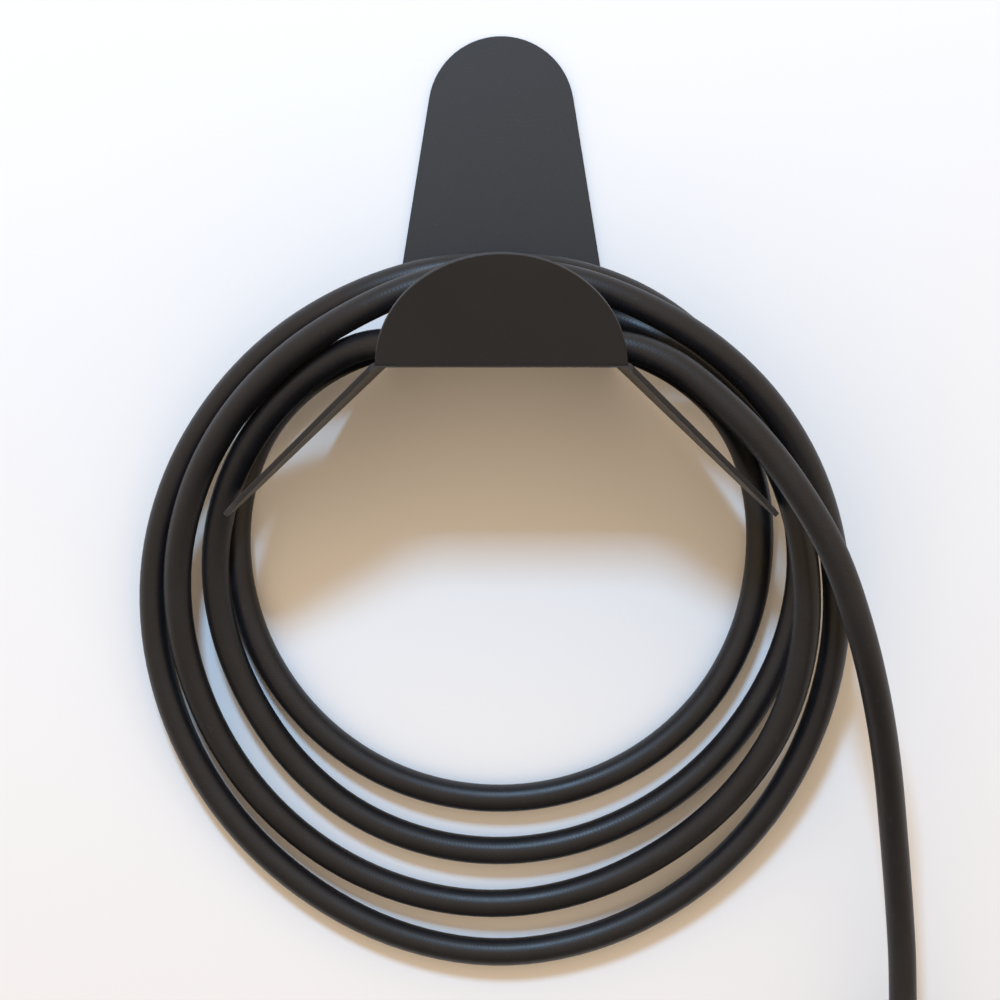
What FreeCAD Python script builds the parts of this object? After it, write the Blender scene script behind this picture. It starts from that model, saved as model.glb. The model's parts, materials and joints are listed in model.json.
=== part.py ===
"""A heavy rubber extension cord hung in four loose turns on a folded steel wall holder, in millimetres.

Frame: X to the right, +Y into the wall, Z up. The wall's face is y = 0. The origin is on it, midway
between the two wall fixings.
"""
import FreeCAD, Part
import os
from math import sin, cos, tan, acos, atan2, hypot, pi, radians

V = FreeCAD.Vector

# ---- driving dimensions -------------------------------------------------------------------------
CORD_D = 17.0            # outside diameter of the rubber cord
SHEET = 3.0              # thickness of the holder's steel sheet
BEND_R = 2.0             # inside radius of its folds
EDGE_R = 0.5             # rounding of its cut edges under the powder coat
SHELF_HALF = 71.0        # half the shelf's width
SHELF_DEEP = 148.0       # from the wall to the front fold
PLATE_TIP_R = 45.4       # round top of the wall plate
PLATE_TOP = 205.0        # top of the wall plate above the shelf's underside
LIP_LEAN = 28.3          # lean of the front lip away from upright, degrees
WING_FALL = 44.2         # slope of the side wings below level, degrees
WING_LONG = 128.0        # length of a wing along its slope
WING_TIP_R = 39.0        # round tip of a wing
WING_BACK = 3.0          # gap between the wall and a wing's root
FIX_UP = 36.0            # height of the wall fixings above the shelf's underside
FIX_HALF = 40.0          # half the distance between the two wall fixings
HANG_DROP = 10.0         # length that the holder drops on its keyholes
LIFT_OFF = 65.0          # rise that brings the coil over the lip

SCREW_R = 2.4            # wall screws
SCREW_NECK_R = 2.1       # plain neck under the head, inside the keyhole
SCREW_NECK_IN = 1.0      # how far the neck goes into the wall
SCREW_HEAD_R = 4.5
SCREW_IN = 45.0          # length of a screw inside the wall
SCREW_TIP = 4.0
SLOT_R = 2.7             # narrow part of a keyhole
KEY_R = 5.5              # entry of a keyhole

# ---- the coil, clockwise: hours since the first twelve o'clock, radius, distance from the wall ------
COIL_MID = (-3.0, -119.0)            # x and height above the shelf's underside
HOUR = 30.0                          # degrees
TURNS = [
    (1, 151, 56), (2, 167, 24), (3, 163, 14), (4, 158.5, 11), (5, 153.5, 9.5), (6, 151, 9), (7, 152, 9),
    (8, 155.5, 9.5), (9, 161, 11), (10, 164, 14), (11, 150, 20),
    (12, 131, 28), (12.5, 159, 40), (12.75, 165, 53), (13, 165.5, 68), (14, 175.5, 68), (15, 186, 56),
    (16, 201, 38), (17, 210, 18), (18, 217.5, 10), (19, 214, 10), (20, 204.5, 17), (21, 195, 34),
    (22, 181, 66), (23, 170.5, 104),
    (24, 174.5, 110), (25, 176, 108), (26, 188.5, 86), (27, 205, 50), (28, 222, 26), (29, 239.5, 13),
    (30, 248.5, 10), (31, 238, 10), (32, 225, 12), (33, 211, 20), (34, 193.5, 44), (35, 181.5, 78),
    (36, 178.5, 84), (37, 182, 60), (38, 182.5, 36), (39, 188, 24), (40, 185.5, 14), (41, 184, 10),
    (42, 184, 9.5), (43, 182, 10), (44, 175.5, 15), (45, 173, 28), (46, 164.5, 60), (47, 153.5, 98)]
COIL_BACK = 0.5                      # distances from the wall to the faces of the coil's solid
LOW_FRONT = 30.0
MID_FRONT = 66.0
HIGH_FRONT = 96.0
LEFT_FRONT = 112.0
LOW_TOP = -215.0                     # heights at which its front face steps out
MID_TOP = -110.0

# ---- the lead-in and the free end: x, distance from the wall, height above the shelf's underside ----
# Each begins or ends inside a clamp, where the jacket stops.
LEAD_IN = [(-9, 75, 20.5), (41, 75, 20.5), (80, 62, 12.5)]
FREE_END = [(14, 126, 12.4), (64, 126, 15), (96.5, 126, 4.5), (123, 126, -16.5), (150, 125, -43),
            (173, 123, -74), (193, 119, -108), (208, 112, -150), (220.5, 95, -192), (231, 73, -238),
            (238.5, 54, -290), (244, 43, -336), (247, 38, -376), (247, 38, -429)]

# ---- the plug and the connector, along their own axes from the cord to the face --------------------
BODY_R = 17.0            # shell of the plug and of the connector
WALL = 2.4               # thickness of a shell
RELIEF_LONG = 26.0       # tapered strain relief, outside the clamp
RELIEF_TIP_R = 10.0
RELIEF_ROOT_R = 12.6
CLAMP_LONG = 11.0
SHELL_LONG = 31.0
FACE_LONG = 7.0
BLADE_APART = 12.7       # centre to centre, line to neutral
GROUND_OFF = 11.9        # ground pin below the blades' line
BLADE_WIDE = 6.35
BLADE_THICK = 1.5
BLADE_OUT = 17.0         # length outside the face
GROUND_R = 2.4
GROUND_OUT = 20.0
CORE_R = 2.6             # one insulated core
CLAMP_SCREW_X = (-14.7, 14.7)
SHELL_SCREW_X = (-12.4, 12.4)
SHELL_SCREW_Y = -2.5
CLEAR = 0.3              # gap between pieces that move on each other

LID_THICK = 2.6
PIN_R = 1.25             # hinge pin of the connector's cover


def at(x, depth, height):
    """A point from its x, distance from the wall and height above the shelf's underside."""
    return V(x, -depth, height - FIX_UP)


def save(node, *solids):
    shape = solids[0] if len(solids) == 1 else Part.makeCompound(list(solids))
    shape.exportStep(f"parts/{node}.step")
    print(f"{node:28s} {sum(s.Volume for s in solids) / 1000:9.2f} cm3")


def cylinder(radius, low, high, x=0.0, y=0.0):
    return Part.makeCylinder(radius, high - low, V(x, y, low))


def tube(outer, inner, low, high):
    return cylinder(outer, low, high).cut(cylinder(inner, low, high))


def block(x0, x1, y0, y1, z0, z1):
    return Part.makeBox(x1 - x0, y1 - y0, z1 - z0, V(x0, y0, z0))


def cone(r_low, r_high, low, high):
    return Part.makeCone(r_low, r_high, high - low, V(0, 0, low))


def across_x(radius, x0, x1, y, z):
    return Part.makeCylinder(radius, x1 - x0, V(x0, y, z), V(1, 0, 0))


# ---- the holder -------------------------------------------------------------------------------------
def folded_strip(path, thick, inside_r, side):
    """The section, in two coordinates, of a sheet whose inner face follows path. side is +1 if the
    sheet lies to the left of the path's direction."""
    def surface(offset):
        pieces, last = [], None
        for i, point in enumerate(path):
            before = path[i - 1] if i else None
            after = path[i + 1] if i + 1 < len(path) else None
            if before is None or after is None:
                a, b = (point, after) if before is None else (before, point)
                length = hypot(b[0] - a[0], b[1] - a[1])
                n = (-(b[1] - a[1]) / length * side, (b[0] - a[0]) / length * side)
                here = (point[0] + n[0] * offset, point[1] + n[1] * offset)
                if last is not None:
                    pieces.append((last, here))
                last = here
                continue
            u = unit(before, point)
            w = unit(point, after)
            turn = acos(max(-1, min(1, u[0] * w[0] + u[1] * w[1])))
            set_back = inside_r * tan(turn / 2)
            nu, nw = (-u[1] * side, u[0] * side), (-w[1] * side, w[0] * side)
            centre = (point[0] - u[0] * set_back - nu[0] * inside_r,
                      point[1] - u[1] * set_back - nu[1] * inside_r)
            radius = inside_r + offset
            start = (centre[0] + nu[0] * radius, centre[1] + nu[1] * radius)
            end = (centre[0] + nw[0] * radius, centre[1] + nw[1] * radius)
            m = ((nu[0] + nw[0]), (nu[1] + nw[1]))
            size = hypot(*m)
            middle = (centre[0] + m[0] / size * radius, centre[1] + m[1] / size * radius)
            pieces.append((last, start))
            pieces.append((start, middle, end))
            last = end
        return pieces
    inner, outer = surface(0.0), surface(thick)
    back = [tuple(reversed(p)) for p in reversed(outer)]
    return inner + [(inner[-1][-1], outer[-1][-1])] + back + [(outer[0][0], inner[0][0])]


def unit(a, b):
    length = hypot(b[0] - a[0], b[1] - a[1])
    return ((b[0] - a[0]) / length, (b[1] - a[1]) / length)


def face_of(pieces, place):
    """A face from straight and three-point arc pieces; place puts a pair of coordinates in space."""
    edges = []
    for piece in pieces:
        points = [place(*p) for p in piece]
        edges.append(Part.LineSegment(*points).toShape() if len(points) == 2
                     else Part.Arc(*points).toShape())
    return Part.Face(Part.Wire(edges))


def tongue(half_root, long, tip_r):
    """Outline of a tapered tongue with a round tip, root on the first axis, as straight and arc pieces."""
    centre = long - tip_r
    taper = acos(tip_r / hypot(half_root, centre)) - atan2(centre, half_root)
    tx, ty = tip_r * cos(taper), centre + tip_r * sin(taper)
    return [((-half_root, 0), (half_root, 0)), ((half_root, 0), (tx, ty)),
            ((tx, ty), (0, long), (-tx, ty)), ((-tx, ty), (-half_root, 0))]


def lip_frame():
    """Up along the front lip, and its outward normal, as (depth, height) pairs."""
    lean = radians(LIP_LEAN)
    return (sin(lean), cos(lean)), (cos(lean), -sin(lean))


def make_bracket():
    up, out = lip_frame()
    inner_corner = SHELF_DEEP - SHEET / out[0] + SHEET * up[0] / up[1]
    lip_end = (inner_corner + 80 * up[0], SHEET + 80 * up[1])
    spine = folded_strip([(SHEET, PLATE_TOP + 5), (SHEET, SHEET), (inner_corner, SHEET), lip_end],
                         SHEET, BEND_R, -1)
    strip = face_of(spine, lambda d, h: at(-SHELF_HALF, d, h)).extrude(V(2 * SHELF_HALF, 0, 0))
    root = SHEET + BEND_R
    plate_mask = face_of(tongue(SHELF_HALF, PLATE_TOP - root, PLATE_TIP_R),
                         lambda x, h: at(x, -1, h + root)).extrude(V(0, -SHEET - 2, 0))
    low = block(-SHELF_HALF, SHELF_HALF, -SHELF_DEEP - 10, 1, -FIX_UP - 1, root - FIX_UP)
    half_disc = [((-SHELF_HALF, 0), (SHELF_HALF, 0)),
                 ((SHELF_HALF, 0), (0, SHELF_HALF), (-SHELF_HALF, 0))]
    lip_mask = face_of(half_disc, lambda x, s: at(x, SHELF_DEEP + s * up[0] + 2 * out[0],
                                                  s * up[1] + 2 * out[1]))
    lip_mask = lip_mask.extrude(V(0, 8 * out[0], -8 * out[1]))
    shape = strip.common(low).fuse([strip.common(plate_mask), strip.common(lip_mask)])

    wing_mid = (WING_BACK + SHELF_DEEP) / 2
    fall = radians(WING_FALL)
    along, over = (cos(fall), -sin(fall)), (sin(fall), cos(fall))
    wing_path = [(SHELF_HALF - 12, 0), (SHELF_HALF, 0),
                 (SHELF_HALF + 140 * along[0], 140 * along[1])]
    outline = tongue((SHELF_DEEP - WING_BACK) / 2, WING_LONG, WING_TIP_R)
    for side in (1, -1):
        section = folded_strip(wing_path, SHEET, BEND_R, 1)
        wing = face_of(section, lambda x, h: at(side * x, WING_BACK, h))
        wing = wing.extrude(V(0, WING_BACK - SHELF_DEEP, 0))
        mask = face_of(outline, lambda across, q: at(side * (SHELF_HALF + q * along[0] - 5 * over[0]),
                                                     wing_mid + across, q * along[1] - 5 * over[1]))
        mask = mask.extrude(V(side * 15 * over[0], 0, 15 * over[1]))
        root_x = sorted((side * (SHELF_HALF - 12), side * (SHELF_HALF + 3)))
        root_box = block(*root_x, -SHELF_DEEP, -WING_BACK, -FIX_UP - 3, SHEET + 2 - FIX_UP)
        shape = shape.fuse([wing.common(mask), wing.common(root_box)])
    shape = shape.removeSplitter()
    for side in (1, -1):
        x = side * FIX_HALF
        entry = Part.makeCylinder(KEY_R, 20, V(x, 5, -HANG_DROP), V(0, -1, 0))
        slot = Part.makeCylinder(SLOT_R, 20, V(x, 5, 0), V(0, -1, 0))
        neck = block(x - SLOT_R, x + SLOT_R, -15, 5, -HANG_DROP, 0)
        shape = shape.cut(entry.fuse([slot, neck]))
    return rounded(shape.removeSplitter())


def rounded(shape):
    """Rounds the long cut edges of the lip, the plate and the wings."""
    chosen = [e for e in shape.Edges if e.Length > 60 and is_cut_edge(e)]
    return shape.makeFillet(EDGE_R, chosen)


def is_cut_edge(edge):
    """True for the outline edges of the flaps, which the powder coat softens: the round ones, and the
    straight sides that run between a fold and a round end."""
    if edge.Curve.TypeId == "Part::GeomCircle":
        return edge.Curve.Radius > 15
    if edge.Curve.TypeId != "Part::GeomLine":
        return False
    a, b = edge.Vertexes[0].Point, edge.Vertexes[-1].Point
    run = b - a
    return abs(run.x) < 0.98 * run.Length and abs(run.y) < 0.98 * run.Length


def wall_screws():
    """Two pan-head screws with cross recesses, driven into the wall, that the keyholes drop over."""
    made = []
    front = -SHEET - CLEAR
    for x in (-FIX_HALF, FIX_HALF):
        head = Part.makeCylinder(SCREW_HEAD_R, 3.0, V(x, front, 0), V(0, -1, 0))
        head = head.makeFillet(1.2, [e for e in head.Edges if abs(e.BoundBox.YMin - front + 3) < 0.01
                                     and e.Curve.TypeId == "Part::GeomCircle"])
        neck = Part.makeCylinder(SCREW_NECK_R, SCREW_NECK_IN - front, V(x, front, 0), V(0, 1, 0))
        thread_long = SCREW_IN - SCREW_TIP - SCREW_NECK_IN
        shank = Part.makeCylinder(SCREW_R, thread_long, V(x, SCREW_NECK_IN, 0), V(0, 1, 0))
        tip = Part.makeCone(SCREW_R, 0.4, SCREW_TIP, V(x, SCREW_IN - SCREW_TIP, 0), V(0, 1, 0))
        drive = block(x - 0.7, x + 0.7, front - 3.1, front - 1.6, -2.8, 2.8)
        drive = drive.fuse(block(x - 2.8, x + 2.8, front - 3.1, front - 1.6, -0.7, 0.7))
        made.append(head.fuse([neck, shank, tip]).cut(drive))
    return made


# ---- the cord ---------------------------------------------------------------------------------------
def radius_at(hours):
    """Radius of the coil's line, between the table's values in a straight line."""
    i = max(k for k in range(len(TURNS) - 1) if TURNS[k][0] <= hours)
    (h0, r0, _), (h1, r1, _) = TURNS[i], TURNS[i + 1]
    return r0 + (r1 - r0) * (hours - h0) / (h1 - h0)


def coil_outline(grow):
    """Points of the coil's outer (grow +) or inner (grow -) edge, clockwise every ten degrees."""
    first, last = TURNS[0][0], TURNS[-1][0]
    points = []
    for step in range(36):
        hours = [step / 3 + 12 * turn for turn in range(4)]
        strands = [radius_at(h) for h in hours if first <= h <= last]
        reach = (max(strands) if grow > 0 else min(strands)) + grow * CORD_D / 2
        angle = radians(HOUR * step / 3)
        points.append((COIL_MID[0] + reach * sin(angle), COIL_MID[1] + reach * cos(angle)))
    return points


def slab(points, back, front):
    """A solid between two distances from the wall, with an outline of (x, height) points."""
    ring = [at(x, back, h) for x, h in points]
    return Part.Face(Part.makePolygon(ring + ring[:1])).extrude(V(0, back - front, 0))


def room(x0, x1, back, front, low, high):
    """A box between two x, two distances from the wall and two heights above the shelf's underside."""
    return block(x0, x1, -front, -back, low - FIX_UP, high - FIX_UP)


def make_coil():
    """The outer shape of the four turns: a ring that stands out from the wall towards its top, a bridge
    over the trough, and the two strands that lie on the shelf."""
    outer, inner = coil_outline(1), coil_outline(-1)
    top = max(h for x, h in outer)

    def ring(front, *bounds):
        return slab(outer, COIL_BACK, front).cut(slab(inner, COIL_BACK, front)).common(room(*bounds))

    shape = ring(LOW_FRONT, -300, 300, 0, 200, -400, top)
    shape = shape.fuse([ring(MID_FRONT, -300, 300, 0, 200, LOW_TOP, top),
                        ring(HIGH_FRONT, -300, 300, 0, 200, MID_TOP, top),
                        ring(LEFT_FRONT, -145, -75, 0, 200, -38, top)])
    shape = shape.cut(room(-75, 75, 0, 200, -30, 90)).cut(room(-80, 80, 0, 200, -30, 2))
    tip_x = SHELF_HALF + WING_LONG * cos(radians(WING_FALL))
    tip_low = -WING_LONG * sin(radians(WING_FALL))
    tip_back = (WING_BACK + SHELF_DEEP) / 2 - WING_TIP_R
    for side in (1, -1):
        xs = sorted((side * (SHELF_HALF + 60), side * (tip_x + 3)))
        shape = shape.cut(room(*xs, tip_back - 3, 200, tip_low - LIFT_OFF - 3, tip_low + 24))
    bridge = slab(outer, 63, 119).common(room(-76, 76, 0, 200, 45, top + 5))
    rear_strand = room(-76, 38, 20, 37, 3.5, 20.5)
    front_strand = room(-76, FREE_END[0][0], 118, 134.5, 3.7, 20.7)
    left_web = room(-78, -74, 95, 134.5, 4, 46)
    return shape.fuse([bridge, rear_strand, front_strand, left_web]).removeSplitter()


def rounded_route(points, label):
    """Straight runs joined by tangent arcs, each as large as its two runs allow."""
    p = [at(*q) for q in points]
    edges, last, radii = [], p[0], []
    for before, corner, after in zip(p, p[1:], p[2:]):
        u, w = (corner - before), (after - corner)
        shorter = min(u.Length, w.Length)
        u.normalize()
        w.normalize()
        turn = u.getAngle(w)
        reach = 0.45 * shorter
        radius = reach / tan(turn / 2)
        radii.append(radius)
        start, end = corner - u * reach, corner + w * reach
        bisector = w - u
        bisector.normalize()
        middle = corner + bisector * (radius / cos(turn / 2) - radius)
        edges.append(Part.LineSegment(last, start).toShape())
        edges.append(Part.Arc(start, middle, end).toShape())
        last = end
    edges.append(Part.LineSegment(last, p[-1]).toShape())
    wire = Part.Wire(edges)
    print(label, "bend radii in cord diameters:", [round(r / CORD_D, 1) for r in radii])
    return wire


def cord_tube(points, label):
    wire = rounded_route(points, label)
    first = wire.OrderedEdges[0]
    start = first.Vertexes[0].Point
    ahead = (first.Vertexes[-1].Point - start)
    ring = Part.Wire(Part.makeCircle(CORD_D / 2, start, ahead))
    solid = wire.makePipeShell([ring], True, False)
    exact = pi * (CORD_D / 2) ** 2 * wire.Length
    print(label, "length", round(wire.Length, 1), "volume over section times length",
          round(solid.Volume / exact, 4))
    return solid


# ---- plug and connector, each along its own Z from the cord to the face ------------------------------
CLAMP_TOP = CLAMP_LONG
SHELL_TOP = CLAMP_TOP + SHELL_LONG
FACE_TOP = SHELL_TOP + FACE_LONG
TERMINAL = SHELL_TOP - 11.0          # where the cores end on the contacts
FACE_MID = GROUND_OFF / 2            # the blades sit this far above the axis, the ground pin below it
CONTACT_SPOTS = {"line": (-BLADE_APART / 2, FACE_MID - 1), "neutral": (BLADE_APART / 2, FACE_MID - 1),
                 "ground": (0.0, FACE_MID - GROUND_OFF - 1)}
CORE_LAY = {"line": 150.0, "neutral": 30.0, "ground": 270.0}     # around the cord's axis, degrees
CORE_LAY_R = CORE_R * 2 / 3 ** 0.5 + 0.1


def strain_relief():
    """Tapered rubber sleeve, ribbed in rings, with a flange held by the clamp."""
    body = cone(RELIEF_TIP_R, RELIEF_ROOT_R, -RELIEF_LONG, 0).fuse(cylinder(RELIEF_ROOT_R, 0, CLAMP_TOP))
    for ring in range(4):
        low = -RELIEF_LONG + 5 + ring * 5
        body = body.cut(tube(RELIEF_ROOT_R + 2, RELIEF_TIP_R - 0.6 + ring * 0.5, low, low + 1.8))
    return body.cut(cylinder(CORD_D / 2, -RELIEF_LONG, CLAMP_TOP))


def clamp_half(side):
    """Half of the two-screw cord clamp. side is +1 or -1 along Y."""
    ears = block(-BODY_R, BODY_R, -4.2, 4.2, 0.5, CLAMP_TOP - 0.5)
    body = cylinder(BODY_R - 1.2, 0.5, CLAMP_TOP - 0.5).fuse(ears)
    body = body.cut(cylinder(RELIEF_ROOT_R, 0, CLAMP_TOP))
    half = block(-25, 25, 0.4, 25, 0, CLAMP_TOP) if side > 0 else block(-25, 25, -25, -0.4, 0, CLAMP_TOP)
    body = body.common(half)
    for x in CLAMP_SCREW_X:
        body = body.cut(Part.makeCylinder(1.3, 50, V(x, -25, CLAMP_TOP / 2), V(0, 1, 0)))
        for away in (-1, 1):
            body = body.cut(Part.makeCylinder(2.4, 8, V(x, 4.2 * away, CLAMP_TOP / 2), V(0, away, 0)))
    return body


def clamp_screws():
    made = []
    for x in CLAMP_SCREW_X:
        shank = Part.makeCylinder(1.25, 8.6, V(x, -4.2, CLAMP_TOP / 2), V(0, 1, 0))
        head = Part.makeCylinder(2.25, 1.8, V(x, 4.2, CLAMP_TOP / 2), V(0, 1, 0))
        slot = block(x - 0.4, x + 0.4, 5.1, 6.1, CLAMP_TOP / 2 - 3, CLAMP_TOP / 2 + 3)
        made.append(head.fuse(shank).cut(slot))
    return made


def shell():
    """Hollow grip, open at the face, with a round passage for the cores and shallow grip grooves."""
    body = cylinder(BODY_R, CLAMP_TOP, SHELL_TOP)
    body = body.makeChamfer(1.5, [e for e in body.Edges if abs(e.BoundBox.ZMax - CLAMP_TOP) < 0.01
                                  and e.Curve.TypeId == "Part::GeomCircle"])
    body = body.cut(cylinder(BODY_R - WALL, CLAMP_TOP + 5, SHELL_TOP))
    body = body.cut(cylinder(7.6, CLAMP_TOP - 1, CLAMP_TOP + 6))
    for ring in range(4):
        low = CLAMP_TOP + 7 + ring * 5
        body = body.cut(tube(BODY_R + 2, BODY_R - 0.8, low, low + 2))
    for x in SHELL_SCREW_X:
        post = cylinder(2.6, CLAMP_TOP + 4, SHELL_TOP - 0.1, x, SHELL_SCREW_Y)
        body = body.fuse(post.common(cylinder(BODY_R - 1, CLAMP_TOP, SHELL_TOP)))
        body = body.cut(cylinder(1.3, CLAMP_TOP + 5, SHELL_TOP, x, SHELL_SCREW_Y))
    return body


def shell_screws():
    made = []
    for x in SHELL_SCREW_X:
        shank = cylinder(1.25, CLAMP_TOP + 9, FACE_TOP - 2, x, SHELL_SCREW_Y)
        head = cylinder(2.4, FACE_TOP - 2.2, FACE_TOP - 0.4, x, SHELL_SCREW_Y)
        slot = block(x - 2.6, x + 2.6, SHELL_SCREW_Y - 0.4, SHELL_SCREW_Y + 0.4, FACE_TOP - 1.3, FACE_TOP)
        made.append(head.fuse(shank).cut(slot))
    return made


def face(openings):
    """Round insulating face with a block behind it. openings are the shapes cut through both."""
    body = cylinder(BODY_R, SHELL_TOP, FACE_TOP)
    body = body.makeFillet(1.0, [e for e in body.Edges if abs(e.BoundBox.ZMin - FACE_TOP) < 0.01
                                 and e.Curve.TypeId == "Part::GeomCircle"])
    back = cylinder(BODY_R - WALL - 0.3, SHELL_TOP - 7, SHELL_TOP + 1).common(
        block(-9.4, 9.4, -20, 20, 0, 99))
    body = body.fuse(back)
    for x in SHELL_SCREW_X:
        body = body.cut(cylinder(1.4, SHELL_TOP - 1, FACE_TOP, x, SHELL_SCREW_Y))
        body = body.cut(cylinder(2.5, FACE_TOP - 2.3, FACE_TOP + 1, x, SHELL_SCREW_Y))
    for opening in openings:
        body = body.cut(opening)
    return body


def blade(x, y, low, high, grow=0.0):
    half_t, half_w = BLADE_THICK / 2 + grow, BLADE_WIDE / 2 + grow
    return block(x - half_t, x + half_t, y - half_w, y + half_w, low, high)


def contact_tab(x, y):
    """The flat tail of a contact behind the face, where its core ends."""
    return block(x - 2.6, x + 2.6, y - 2.6, y + 2.6, TERMINAL, SHELL_TOP - 7.2)


def terminal_screws():
    made = []
    for x, y in CONTACT_SPOTS.values():
        away = -1 if x < 0 else 1
        z = TERMINAL + 1.9
        if x:
            head = Part.makeCylinder(1.7, 1.2, V(x + away * 2.6, y, z), V(away, 0, 0))
            slot = block(*sorted((x + away * 3.2, x + away * 4)), y - 2, y + 2, z - 0.25, z + 0.25)
        else:
            head = Part.makeCylinder(1.7, 1.2, V(x, y - 2.6, z), V(0, -1, 0))
            slot = block(x - 2, x + 2, y - 4, y - 3.2, z - 0.25, z + 0.25)
        made.append(head.cut(slot))
    return made


def core(name):
    """One insulated core from the cord's end in the clamp to its terminal."""
    x, y = CONTACT_SPOTS[name]
    low, high = CLAMP_TOP + 0.5, TERMINAL
    lay = radians(CORE_LAY[name])
    a, d = V(CORE_LAY_R * cos(lay), CORE_LAY_R * sin(lay), low), V(x, y, high)
    b, c = V(a.x, a.y, low + 5), V(d.x, d.y, high - 4)
    solid = Part.makeCylinder(CORE_R, 5, a)
    lean = c - b
    solid = solid.fuse([Part.makeCylinder(CORE_R, lean.Length, b, lean), Part.makeSphere(CORE_R, b),
                        Part.makeSphere(CORE_R, c), Part.makeCylinder(CORE_R, 4, c)])
    return solid.cut(block(-30, 30, -30, 30, high, high + 10)).removeSplitter()


def plug_parts():
    slots = [blade(*CONTACT_SPOTS[n], SHELL_TOP - 9, FACE_TOP + 1) for n in ("line", "neutral")]
    gx, gy = CONTACT_SPOTS["ground"]
    slots.append(cylinder(GROUND_R, SHELL_TOP - 9, FACE_TOP + 1, gx, gy))
    pin = cylinder(GROUND_R, SHELL_TOP - 7.2, FACE_TOP + GROUND_OUT, gx, gy)
    pin = pin.makeFillet(1.6, [e for e in pin.Edges if abs(e.BoundBox.ZMin - FACE_TOP - GROUND_OUT) < 0.01
                               and e.Curve.TypeId == "Part::GeomCircle"])
    parts = common_parts("plug", face(slots))
    for name in ("line", "neutral"):
        x, y = CONTACT_SPOTS[name]
        flat = blade(x, y, SHELL_TOP - 7.2, FACE_TOP + BLADE_OUT)
        flat = flat.makeChamfer(0.5, [e for e in flat.Edges if abs(e.BoundBox.ZMin - FACE_TOP - BLADE_OUT)
                                      < 0.01 and e.BoundBox.YLength > 3])
        hole = Part.makeCylinder(1.6, 6, V(x - 3, y, FACE_TOP + BLADE_OUT - 4.5), V(1, 0, 0))
        parts[f"plug_{name}_blade"] = [flat.cut(hole).fuse(contact_tab(x, y))]
    parts["plug_ground_pin"] = [pin.fuse(contact_tab(gx, gy))]
    return parts


def connector_parts():
    slots = [blade(*CONTACT_SPOTS[n], SHELL_TOP - 9, FACE_TOP + 1, 0.35) for n in ("line", "neutral")]
    gx, gy = CONTACT_SPOTS["ground"]
    slots.append(cylinder(GROUND_R + 0.25, SHELL_TOP - 9, FACE_TOP + 1, gx, gy))
    parts = common_parts("connector", face(slots))
    for name in ("line", "neutral"):
        x, y = CONTACT_SPOTS[name]
        parts[f"connector_{name}_contact"] = [contact_tab(x, y)]
    parts["connector_ground_contact"] = [contact_tab(gx, gy)]
    body = parts["connector_shell"][0]
    for x0, x1 in ((-10.5, -7.5), (7.5, 10.5)):
        lug = across_x(3.2, x0, x1, HINGE_Y, HINGE_Z)
        arm = block(x0, x1, BODY_R - 5, HINGE_Y, HINGE_Z - 3.2, HINGE_Z + 1.0)
        arm = arm.cut(cylinder(BODY_R - WALL, 0, 99))
        body = body.fuse([lug, arm])
    body = body.cut(across_x(PIN_R, -12, 12, HINGE_Y, HINGE_Z))
    parts["connector_shell"] = [body.removeSplitter()]
    return parts


def common_parts(kind, insulating_face):
    cores = {f"{kind}_{n}_core": [core(n)] for n in CONTACT_SPOTS}
    return {f"{kind}_strain_relief": [strain_relief()],
            f"{kind}_clamp_upper": [clamp_half(1)],
            f"{kind}_clamp_lower": [clamp_half(-1)],
            f"{kind}_clamp_screws": clamp_screws(),
            f"{kind}_shell": [shell()],
            f"{kind}_face": [insulating_face],
            f"{kind}_shell_screws": shell_screws(),
            f"{kind}_terminal_screws": terminal_screws(), **cores}


HINGE_Y = BODY_R + 4.2
HINGE_Z = SHELL_TOP - 3.4
LID_LOW = FACE_TOP + CLEAR + 1.0


def cover_parts():
    """Spring-loaded cover over the connector's face, hinged at one side."""
    lid = cylinder(BODY_R + 0.4, LID_LOW, LID_LOW + LID_THICK)
    lid = lid.makeFillet(0.9, [e for e in lid.Edges if abs(e.BoundBox.ZMin - LID_LOW - LID_THICK) < 0.01
                               and e.Curve.TypeId == "Part::GeomCircle"])
    tab = block(-5, 5, -BODY_R - 4, -BODY_R + 3, LID_LOW + 0.6, LID_LOW + LID_THICK - 0.4)
    lid = lid.fuse(tab)
    for x0, x1 in ((-7.2, -4.2), (4.2, 7.2)):
        knuckle = across_x(3.0, x0, x1, HINGE_Y, HINGE_Z)
        arm = block(x0, x1, HINGE_Y - 1.6, HINGE_Y + 3.0, HINGE_Z, LID_LOW + LID_THICK - 0.5)
        bridge = block(x0, x1, BODY_R - 3, HINGE_Y + 3.0, LID_LOW, LID_LOW + LID_THICK - 0.5)
        lid = lid.fuse([knuckle, arm, bridge])
    lid = lid.cut(across_x(PIN_R + 0.06, -8, 8, HINGE_Y, HINGE_Z)).removeSplitter()
    gasket = tube(14.6, 11.6, FACE_TOP + CLEAR, LID_LOW)
    pin = across_x(PIN_R, -11.2, 11.2, HINGE_Y, HINGE_Z)
    spring = hinge_spring()
    return {"cover_lid": [lid], "cover_gasket": [gasket], "cover_hinge_pin": [pin],
            "cover_spring": [spring]}


def hinge_spring():
    """Torsion spring on the hinge pin, between the lid's knuckles."""
    wire_r, mean_r, turns = 0.45, 1.95, 5
    helix = Part.makeHelix(1.25, 1.25 * turns, mean_r)
    ring = Part.Wire(Part.makeCircle(wire_r, V(mean_r, 0, 0), V(0, 1, 0)))
    coil = Part.Wire(helix.Edges).makePipeShell([ring], True, True)
    coil.rotate(V(0, 0, 0), V(0, 1, 0), 90)
    coil.translate(V(-1.25 * turns / 2, HINGE_Y, HINGE_Z))
    return coil


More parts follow.
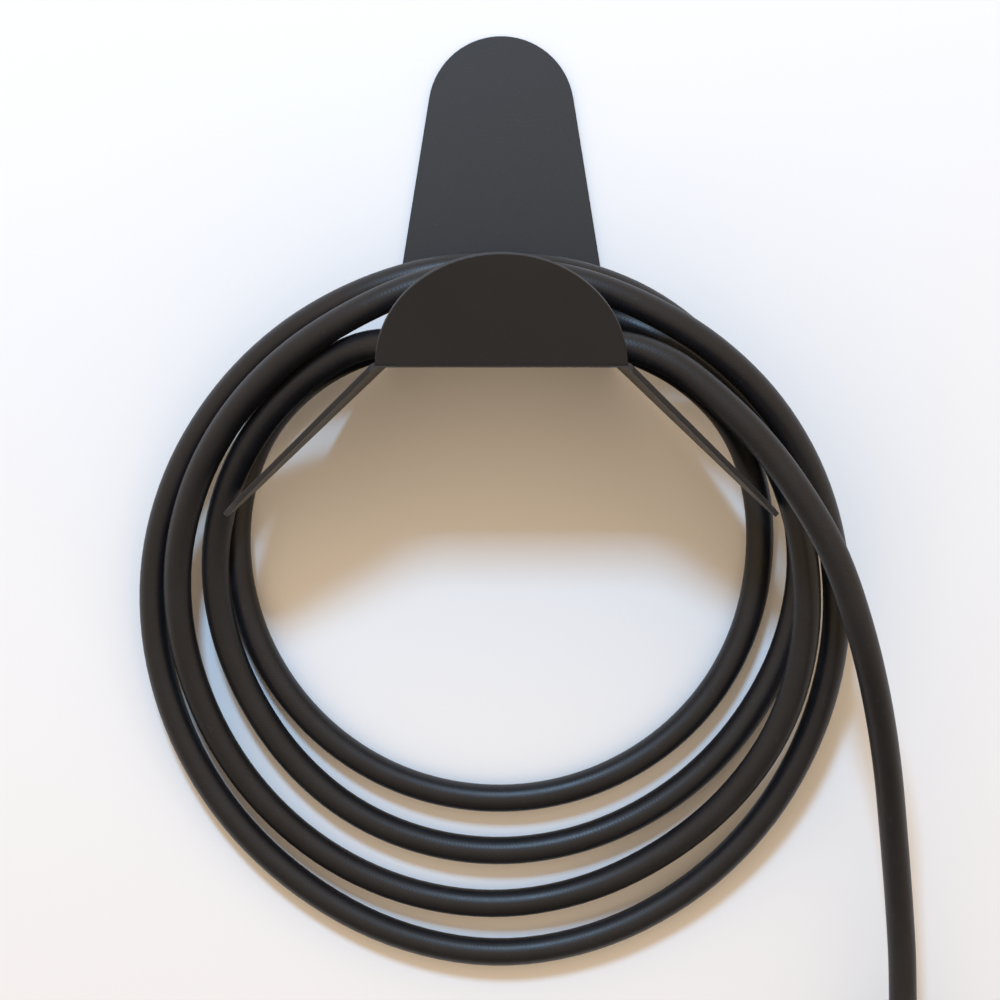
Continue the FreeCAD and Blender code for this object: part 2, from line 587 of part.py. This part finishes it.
def place_all(parts, placement):
    for node, solids in parts.items():
        moved = []
        for solid in solids:
            solid = solid.copy()
            solid.Placement = placement.multiply(solid.Placement)
            moved.append(solid)
        save(node, *moved)


def main():
    os.makedirs("parts", exist_ok=True)
    save("wall_bracket", make_bracket())
    save("wall_screws", *wall_screws())
    save("cord_coil", make_coil())
    save("cord_lead_in", cord_tube(LEAD_IN, "lead-in"))
    save("cord_tail", cord_tube(FREE_END, "free end"))

    to_left = FreeCAD.Rotation(V(0, 1, 0), -90)
    upright = FreeCAD.Rotation(V(0, 0, 1), 90)
    clamp_end = at(*LEAD_IN[0]) + V(CLAMP_TOP, 0, 0)
    place_all(plug_parts(), FreeCAD.Placement(clamp_end, to_left.multiply(upright)))

    downward = FreeCAD.Rotation(V(1, 0, 0), 180)
    clamp_end = at(*FREE_END[-1]) + V(0, 0, CLAMP_TOP)
    hung = FreeCAD.Placement(clamp_end, downward)
    place_all({**connector_parts(), **cover_parts()}, hung)


main()
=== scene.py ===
"""Looks of the rubber extension cord on its folded wall holder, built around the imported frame.

Metres, in the row frame: X right, +Y into the wall, Z up. The tables below are in millimetres, as
(x, distance from the wall, height above the shelf's underside).
"""
import json
from math import cos, pi, radians, sin

import bpy
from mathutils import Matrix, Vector


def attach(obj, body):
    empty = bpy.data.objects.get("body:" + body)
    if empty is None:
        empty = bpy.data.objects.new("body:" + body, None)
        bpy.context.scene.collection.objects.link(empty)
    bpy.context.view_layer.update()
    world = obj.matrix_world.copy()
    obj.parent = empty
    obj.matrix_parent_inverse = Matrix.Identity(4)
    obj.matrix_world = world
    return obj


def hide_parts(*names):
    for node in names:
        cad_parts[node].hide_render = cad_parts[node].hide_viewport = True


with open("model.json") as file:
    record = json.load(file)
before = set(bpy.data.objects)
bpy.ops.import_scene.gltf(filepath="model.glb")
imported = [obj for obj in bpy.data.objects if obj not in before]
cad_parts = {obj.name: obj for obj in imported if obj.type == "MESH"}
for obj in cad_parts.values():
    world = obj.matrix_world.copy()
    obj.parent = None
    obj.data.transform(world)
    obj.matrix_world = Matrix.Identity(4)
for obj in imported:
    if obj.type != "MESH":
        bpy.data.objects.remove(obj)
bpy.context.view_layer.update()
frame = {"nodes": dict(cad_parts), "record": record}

MM = 0.001
FIX_UP = 36.0                        # the row's origin above the shelf's underside
CORD_D = 17.0
COIL_MID = (-3.0, -119.0)            # x and height
HOUR = 30.0                          # degrees

# The four turns, clockwise: hours since the first twelve o'clock, radius, distance from the wall.
TURNS = [
    (1, 151, 56), (2, 167, 24), (3, 163, 14), (4, 158.5, 11), (5, 153.5, 9.5), (6, 151, 9), (7, 152, 9),
    (8, 155.5, 9.5), (9, 161, 11), (10, 164, 14), (11, 150, 20),
    (12, 131, 28), (12.5, 159, 40), (12.75, 165, 53), (13, 165.5, 68), (14, 175.5, 68), (15, 186, 56),
    (16, 201, 38), (17, 210, 18), (18, 217.5, 10), (19, 214, 10), (20, 204.5, 17), (21, 195, 34),
    (22, 181, 66), (23, 170.5, 104),
    (24, 174.5, 110), (25, 176, 108), (26, 188.5, 86), (27, 205, 50), (28, 222, 26), (29, 239.5, 13),
    (30, 248.5, 10), (31, 238, 10), (32, 225, 12), (33, 211, 20), (34, 193.5, 44), (35, 181.5, 78),
    (36, 178.5, 84), (37, 182, 60), (38, 182.5, 36), (39, 188, 24), (40, 185.5, 14), (41, 184, 10),
    (42, 184, 9.5), (43, 182, 10), (44, 175.5, 15), (45, 173, 28), (46, 164.5, 60), (47, 153.5, 98)]
LEAD_IN = [(-9, 75, 20.5), (41, 75, 20.5)]
BRIDGE = [(-46, 122, 12.4), (-16, 126, 12.3)]
FREE_END = [(14, 126, 12.4), (64, 126, 15), (96.5, 126, 4.5), (123, 126, -16.5), (150, 125, -43),
            (173, 123, -74), (193, 119, -108), (208, 112, -150), (220.5, 95, -192), (231, 73, -238),
            (238.5, 54, -290), (244, 43, -336), (247, 38, -376), (247, 38, -429)]


def at(x, depth, height):
    """A point of the row frame, in metres, from x, distance from the wall and height over the shelf."""
    return Vector((x, -depth, height - FIX_UP)) * MM


# ---- camera -------------------------------------------------------------------------------------
EYE = (0.0, 1460.0, 8.75)           # x, distance from the wall, height
TILT = radians(1.8)

camera = bpy.data.objects.new("camera", bpy.data.cameras.new("camera"))
bpy.context.collection.objects.link(camera)
camera.location = at(*EYE)
camera.rotation_euler = (pi / 2 - TILT, 0, 0)
camera.data.lens = 84.0
camera.data.sensor_width = 36.0
camera.data.shift_x = -0.0012
camera.data.shift_y = -0.0747
camera.data.clip_start = 0.01
camera.data.clip_end = 50
bpy.context.scene.camera = camera
bpy.context.scene.view_settings.view_transform = "Standard"


# ---- materials ----------------------------------------------------------------------------------
class Finish:
    """A procedural material, built up node by node on a Principled shader."""

    def __init__(self, name, **shader):
        self.mat = bpy.data.materials.new(name)
        self.mat.use_nodes = True
        self.tree = self.mat.node_tree
        self.shader = self.tree.nodes["Principled BSDF"]
        for key, value in shader.items():
            self.shader.inputs[key.replace("_", " ")].default_value = value
        self.place = self.add("ShaderNodeTexCoord").outputs["Object"]

    def add(self, kind, links=None, **values):
        """A node; links feed its sockets by name or number, values set its properties or sockets."""
        node = self.tree.nodes.new(kind)
        for key, value in values.items():
            if hasattr(node, key):
                setattr(node, key, value)
            else:
                node.inputs[key.replace("_", " ")].default_value = value
        for key, source in (links or {}).items():
            self.tree.links.new(source, node.inputs[key])
        return node

    def math(self, operation, a, b=None):
        """The result of a maths node; each operand is a number or a socket."""
        node = self.tree.nodes.new("ShaderNodeMath")
        node.operation = operation
        for slot, value in enumerate((a, b)):
            if isinstance(value, (int, float)):
                node.inputs[slot].default_value = value
            elif value is not None:
                self.tree.links.new(value, node.inputs[slot])
        return node.outputs[0]

    def noise(self, scale, detail=3.0, rough=0.5, where=None):
        node = self.add("ShaderNodeTexNoise", {"Vector": where or self.place}, Scale=scale,
                        Detail=detail, Roughness=rough)
        return node.outputs["Fac"]

    def span(self, value, low, high, to_low=0.0, to_high=1.0):
        """The value, stretched from low..high to to_low..to_high."""
        node = self.tree.nodes.new("ShaderNodeMapRange")
        self.tree.links.new(value, node.inputs["Value"])
        for key, number in (("From Min", low), ("From Max", high), ("To Min", to_low),
                            ("To Max", to_high)):
            node.inputs[key].default_value = number
        return node.outputs["Result"]

    def mix(self, factor, a, b):
        """Colour between a and b; each is a colour or a socket."""
        node = self.tree.nodes.new("ShaderNodeMix")
        node.data_type = "RGBA"
        self.tree.links.new(factor, node.inputs["Factor"])
        for socket, value in ((node.inputs[6], a), (node.inputs[7], b)):
            if isinstance(value, tuple):
                socket.default_value = (*value, 1)
            else:
                self.tree.links.new(value, socket)
        return node.outputs[2]

    def feed(self, key, source):
        self.tree.links.new(source, self.shader.inputs[key])

    def bump(self, height, distance, strength=1.0, under=None):
        node = self.add("ShaderNodeBump", {"Height": height}, Strength=strength, Distance=distance)
        if under is not None:
            self.tree.links.new(under, node.inputs["Normal"])
        return node.outputs["Normal"]


def powder_coat():
    """Satin black powder coat: fine orange peel, faint dust, slightly uneven gloss."""
    f = Finish("powder_coat", Roughness=0.56, IOR=1.45, Specular_IOR_Level=0.62)
    peel = f.noise(650, 2.0, 0.45)
    grain = f.noise(3200, 2.0, 0.6)
    cloud = f.noise(9, 4.0, 0.55)
    dust = f.span(f.noise(1500, 1.0, 0.4), 0.735, 0.80)
    tone = f.mix(f.span(cloud, 0.3, 0.7), (0.012, 0.012, 0.014), (0.015, 0.015, 0.017))
    f.feed("Base Color", f.mix(f.math("MULTIPLY", dust, 0.35), tone, (0.12, 0.12, 0.12)))
    f.feed("Roughness", f.span(f.math("ADD", cloud, grain), 0.6, 1.4, 0.50, 0.62))
    f.feed("Normal", f.bump(grain, 0.00004, 0.35, f.bump(peel, 0.00012, 0.3)))
    return f.mat


WRAP_PITCH = 0.0024                  # imprint of the wrap: metres between its ridges along the cord
WRAP_STARTS = 14.0                   # and ridges around it


def cord_rubber():
    """Matt black rubber with the imprint of the wrap it was cured in, scuffs and a little dust."""
    f = Finish("cord_rubber", Roughness=0.45, IOR=1.45, Specular_IOR_Level=0.5)
    uv = f.add("ShaderNodeUVMap", uv_map="along").outputs["UV"]
    split = f.add("ShaderNodeSeparateXYZ", {"Vector": uv})
    along, around = split.outputs["X"], split.outputs["Y"]
    warped = f.math("ADD", f.math("MULTIPLY", along, 1 / WRAP_PITCH),
                    f.math("MULTIPLY", f.noise(60, 2.0), 1.3))
    lay = f.math("MULTIPLY", around, WRAP_STARTS)
    one = f.math("SINE", f.math("MULTIPLY", f.math("ADD", warped, lay), 2 * pi))
    two = f.math("SINE", f.math("MULTIPLY", f.math("SUBTRACT", warped, lay), 2 * pi))
    weave = f.span(f.math("MAXIMUM", one, two), -1.0, 1.0)
    crepe = f.noise(900, 4.0, 0.65)
    patch = f.noise(38, 5.0, 0.6)
    scuff = f.span(f.noise(170, 6.0, 0.7), 0.60, 0.74)
    tone = f.mix(f.span(patch, 0.3, 0.7), (0.006, 0.0062, 0.0085), (0.009, 0.0095, 0.0125))
    worn = f.mix(f.math("MULTIPLY", scuff, f.span(weave, 0.35, 1.0, 0.0, 0.5)), tone,
                 (0.045, 0.045, 0.047))
    dust = f.span(f.noise(2100, 1.0, 0.4), 0.74, 0.80)
    f.feed("Base Color", f.mix(f.math("MULTIPLY", dust, 0.4), worn, (0.16, 0.16, 0.155)))
    f.feed("Roughness", f.span(f.math("ADD", patch, crepe), 0.6, 1.4, 0.36, 0.50))
    f.feed("Normal", f.bump(crepe, 0.00012, 0.35, f.bump(weave, 0.00010, 0.35)))
    return f.mat


def plain_rubber():
    """Moulded rubber, smoother than the cord."""
    f = Finish("relief_rubber", Roughness=0.6, IOR=1.5, Specular_IOR_Level=0.4)
    grain = f.noise(1400, 3.0, 0.6)
    patch = f.noise(45, 4.0, 0.6)
    f.feed("Base Color", f.mix(patch, (0.016, 0.016, 0.017), (0.026, 0.026, 0.028)))
    f.feed("Roughness", f.span(patch, 0.3, 0.7, 0.54, 0.68))
    f.feed("Normal", f.bump(grain, 0.00006, 0.4))
    return f.mat


def moulded(name, low, high, rough, grain_size=2600, depth=0.00005):
    """Injection-moulded plastic with a fine spark-eroded grain and a faint flow mottle."""
    f = Finish(name, Roughness=rough, IOR=1.48)
    grain = f.noise(grain_size, 3.0, 0.65)
    flow = f.noise(30, 4.0, 0.6)
    f.feed("Base Color", f.mix(f.span(flow, 0.3, 0.7), low, high))
    f.feed("Roughness", f.span(f.math("ADD", grain, flow), 0.6, 1.4, rough - 0.06, rough + 0.06))
    f.feed("Normal", f.bump(grain, depth, 0.4))
    return f.mat


def metal(name, low, high, rough, streak):
    """Bare or plated metal with drawn streaks along X and a little tarnish."""
    f = Finish(name, Roughness=rough, Metallic=1.0)
    squeezed = f.add("ShaderNodeMapping", {"Vector": f.place}, Scale=(0.12, 1.0, 1.0)).outputs[0]
    lines = f.noise(streak, 3.0, 0.6, squeezed)
    tarnish = f.noise(120, 5.0, 0.65)
    f.feed("Base Color", f.mix(f.span(tarnish, 0.35, 0.7), low, high))
    f.feed("Roughness", f.span(f.math("ADD", lines, tarnish), 0.6, 1.4, rough - 0.07, rough + 0.1))
    f.feed("Normal", f.bump(lines, 0.00002, 0.5))
    return f.mat


FINISHES = {
    "powder_coat": powder_coat(),
    "relief_rubber": plain_rubber(),
    "housing_plastic": moulded("housing_plastic", (0.022, 0.022, 0.024), (0.030, 0.030, 0.032), 0.48),
    "face_plastic": moulded("face_plastic", (0.62, 0.60, 0.54), (0.70, 0.68, 0.62), 0.34, 1800, 0.00002),
    "core_black": moulded("core_black", (0.020, 0.020, 0.021), (0.030, 0.030, 0.031), 0.36),
    "core_white": moulded("core_white", (0.66, 0.65, 0.62), (0.76, 0.75, 0.72), 0.36),
    "core_green": moulded("core_green", (0.020, 0.18, 0.055), (0.035, 0.24, 0.075), 0.36),
    "zinc_steel": metal("zinc_steel", (0.52, 0.53, 0.54), (0.66, 0.67, 0.68), 0.34, 1600),
    "contact_brass": metal("contact_brass", (0.60, 0.42, 0.17), (0.74, 0.55, 0.27), 0.28, 1400),
}
SLOT_OF = {part["node"]: part["material_slot"] for part in frame["record"]["subparts"]}
for node, obj in frame["nodes"].items():
    if SLOT_OF[node] in FINISHES:
        for slot in obj.material_slots:
            slot.material = FINISHES[SLOT_OF[node]]


# ---- the cord: one NURBS spline from plug to connector, and a tube along it ------------------------
def smooth(hour):
    """Radius and distance from the wall at an hour, by a smooth curve through the table."""
    i = max(k for k in range(len(TURNS) - 1) if TURNS[k][0] <= hour)
    before, here, there = TURNS[max(i - 1, 0)], TURNS[i], TURNS[i + 1]
    after = TURNS[min(i + 2, len(TURNS) - 1)]
    gap = there[0] - here[0]
    u = (hour - here[0]) / gap
    values = []
    for c in (1, 2):
        a = (there[c] - before[c]) / (there[0] - before[0]) * gap
        b = (after[c] - here[c]) / (after[0] - here[0]) * gap
        values.append(here[c] * (1 + 2 * u) * (1 - u) ** 2 + a * u * (1 - u) ** 2
                      + there[c] * u * u * (3 - 2 * u) - b * u * u * (1 - u))
    return values


def route():
    """The spline's control points: lead-in, four turns, bridge over the shelf, free end."""
    points = [at(*p) for p in LEAD_IN]
    grow = 1 / cos(radians(HOUR / 4))            # the spline runs inside its control points
    for half_hour in range(2 * TURNS[0][0], 2 * TURNS[-1][0] + 1):
        radius, depth = smooth(half_hour / 2)
        turn = radians(HOUR * half_hour / 2)
        points.append(at(COIL_MID[0] + radius * grow * sin(turn), depth,
                         COIL_MID[1] + radius * grow * cos(turn)))
    return points + [at(*p) for p in BRIDGE + FREE_END]


def spline_line(points):
    """The route's own line: points along the NURBS spline."""
    data = bpy.data.curves.new("cord_line", "CURVE")
    data.dimensions = "3D"
    spline = data.splines.new("NURBS")
    spline.points.add(len(points) - 1)
    for knot, point in zip(spline.points, points):
        knot.co = (*point, 1)
    spline.order_u = 3
    spline.use_endpoint_u = True
    spline.resolution_u = 6
    obj = bpy.data.objects.new("cord_line", data)
    bpy.context.collection.objects.link(obj)
    mesh = bpy.data.meshes.new_from_object(obj)
    line = [v.co.copy() for v in mesh.vertices]
    bpy.data.objects.remove(obj)
    bpy.data.curves.remove(data)
    bpy.data.meshes.remove(mesh)
    return line


def tube(name, line, radius, sides=28):
    """A tube of quads along a line, with closed ends; its UV map holds metres along and turns around."""
    tangents = [(line[min(i + 1, len(line) - 1)] - line[max(i - 1, 0)]).normalized()
                for i in range(len(line))]
    normal = tangents[0].orthogonal().normalized()
    verts, faces, uvs, far = [], [], [], 0.0
    reach = [0.0]
    for i, (point, tangent) in enumerate(zip(line, tangents)):
        if i:
            far += (point - line[i - 1]).length
            reach.append(far)
        normal = (normal - tangent * normal.dot(tangent)).normalized()
        side = tangent.cross(normal)
        verts += [point + (normal * cos(2 * pi * k / sides) + side * sin(2 * pi * k / sides)) * radius
                  for k in range(sides)]
    for i in range(len(line) - 1):
        for k in range(sides):
            n = (k + 1) % sides
            faces.append((i * sides + k, i * sides + n, (i + 1) * sides + n, (i + 1) * sides + k))
            uvs += [(reach[i], k / sides), (reach[i], (k + 1) / sides),
                    (reach[i + 1], (k + 1) / sides), (reach[i + 1], k / sides)]
    last = (len(line) - 1) * sides
    for cap, where in ((tuple(reversed(range(sides))), 0.0), (tuple(range(last, last + sides)), far)):
        faces.append(cap)
        uvs += [(where, 0.0)] * sides
    mesh = bpy.data.meshes.new(name)
    mesh.from_pydata(verts, [], faces)
    layer = mesh.uv_layers.new(name="along")
    for loop, uv in zip(layer.data, uvs):
        loop.uv = uv
    mesh.shade_smooth()
    obj = bpy.data.objects.new(name, mesh)
    bpy.context.collection.objects.link(obj)
    return obj, far


line = spline_line(route())
cord, cord_length = tube("cord", line, CORD_D / 2 * MM)
cord.data.materials.append(cord_rubber())
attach(cord, "cord")
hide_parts("cord_coil", "cord_lead_in", "cord_tail")
print("cord length", round(cord_length, 4), "points", len(line))

ENDS = ["strain_relief", "clamp_upper", "clamp_lower", "clamp_screws", "shell", "face", "shell_screws"]
on_cord = [frame["nodes"][f"plug_{part}"] for part in ENDS + ["line_blade", "neutral_blade", "ground_pin"]]
on_cord += [frame["nodes"][f"connector_{part}"] for part in ENDS]
on_cord += [frame["nodes"][f"cover_{part}"] for part in ("lid", "gasket", "hinge_pin", "spring")]


# ---- wall, floor and light ------------------------------------------------------------------------
def sheet_of(name, corners, mat):
    mesh = bpy.data.meshes.new(name)
    mesh.from_pydata(corners, [], [(0, 1, 2, 3)])
    mesh.materials.append(mat)
    obj = bpy.data.objects.new(name, mesh)
    bpy.context.collection.objects.link(obj)
    return obj


def plaster():
    """Pale painted wall, seen from its front only, so that it never hides the holder's back."""
    f = Finish("wall_paint", Roughness=0.9)
    f.feed("Base Color", f.mix(f.noise(2.5, 4.0), (0.86, 0.865, 0.875), (0.885, 0.89, 0.90)))
    f.feed("Normal", f.bump(f.noise(260, 4.0, 0.6), 0.0003, 0.12))
    behind = f.add("ShaderNodeNewGeometry").outputs["Backfacing"]
    clear = f.add("ShaderNodeBsdfTransparent").outputs[0]
    both = f.add("ShaderNodeMixShader", {0: behind, 1: f.shader.outputs[0], 2: clear})
    f.tree.links.new(both.outputs[0], f.tree.nodes["Material Output"].inputs["Surface"])
    return f.mat


WALL_GAP = 0.0004                    # metres behind the holder's back
WALL_TOP = 2.2
FLOOR_Z = -1.25
SPREAD = 4.0                         # half the width of the wall and of the floor
sheet_of("backdrop", [(-SPREAD, WALL_GAP, FLOOR_Z), (SPREAD, WALL_GAP, FLOOR_Z),
                      (SPREAD, WALL_GAP, WALL_TOP), (-SPREAD, WALL_GAP, WALL_TOP)], plaster())
floor = Finish("floor_paint", Roughness=0.8)
floor.feed("Base Color", floor.mix(floor.noise(3.0, 4.0), (0.52, 0.47, 0.41), (0.56, 0.51, 0.45)))
ground = sheet_of("floor", [(-SPREAD, -SPREAD, FLOOR_Z), (SPREAD, -SPREAD, FLOOR_Z),
                            (SPREAD, SPREAD, FLOOR_Z), (-SPREAD, SPREAD, FLOOR_Z)], floor.mat)
ground.visible_diffuse = ground.visible_glossy = ground.visible_shadow = False


# A cool window high in front and to the left, and a warm room that darkens towards its floor.
KEY_AT = (-0.36, -2.25, 1.68)
KEY_TOWARD = (0, 0, -0.12)
KEY_SIDE = 0.42
KEY_POWER = 56
KEY_COLOUR = (0.47, 0.81, 1.21)
ROOM_COLOUR = (0.78, 0.60, 0.42, 1)
ROOM_FALL = {"From Min": -0.85, "From Max": -0.15, "To Min": 0.32, "To Max": 1.29}

key = bpy.data.lights.new("key", "AREA")
key.shape = "SQUARE"
key.size = KEY_SIDE
key.energy = KEY_POWER
key.color = KEY_COLOUR
key_lamp = bpy.data.objects.new("key", key)
key_lamp.location = KEY_AT
key_lamp.rotation_mode = "QUATERNION"
key_lamp.rotation_quaternion = (Vector(KEY_TOWARD) - Vector(KEY_AT)).to_track_quat("-Z", "Y")
bpy.context.collection.objects.link(key_lamp)

world = bpy.data.worlds.new("room")
world.use_nodes = True
room = world.node_tree
room_shader = room.nodes["Background"]
room_shader.inputs["Color"].default_value = ROOM_COLOUR
toward = room.nodes.new("ShaderNodeTexCoord").outputs["Generated"]
split = room.nodes.new("ShaderNodeSeparateXYZ")
fall = room.nodes.new("ShaderNodeMapRange")
for socket, value in ROOM_FALL.items():
    fall.inputs[socket].default_value = value
room.links.new(toward, split.inputs[0])
room.links.new(split.outputs["Z"], fall.inputs["Value"])
room.links.new(fall.outputs["Result"], room_shader.inputs["Strength"])
bpy.context.scene.world = world
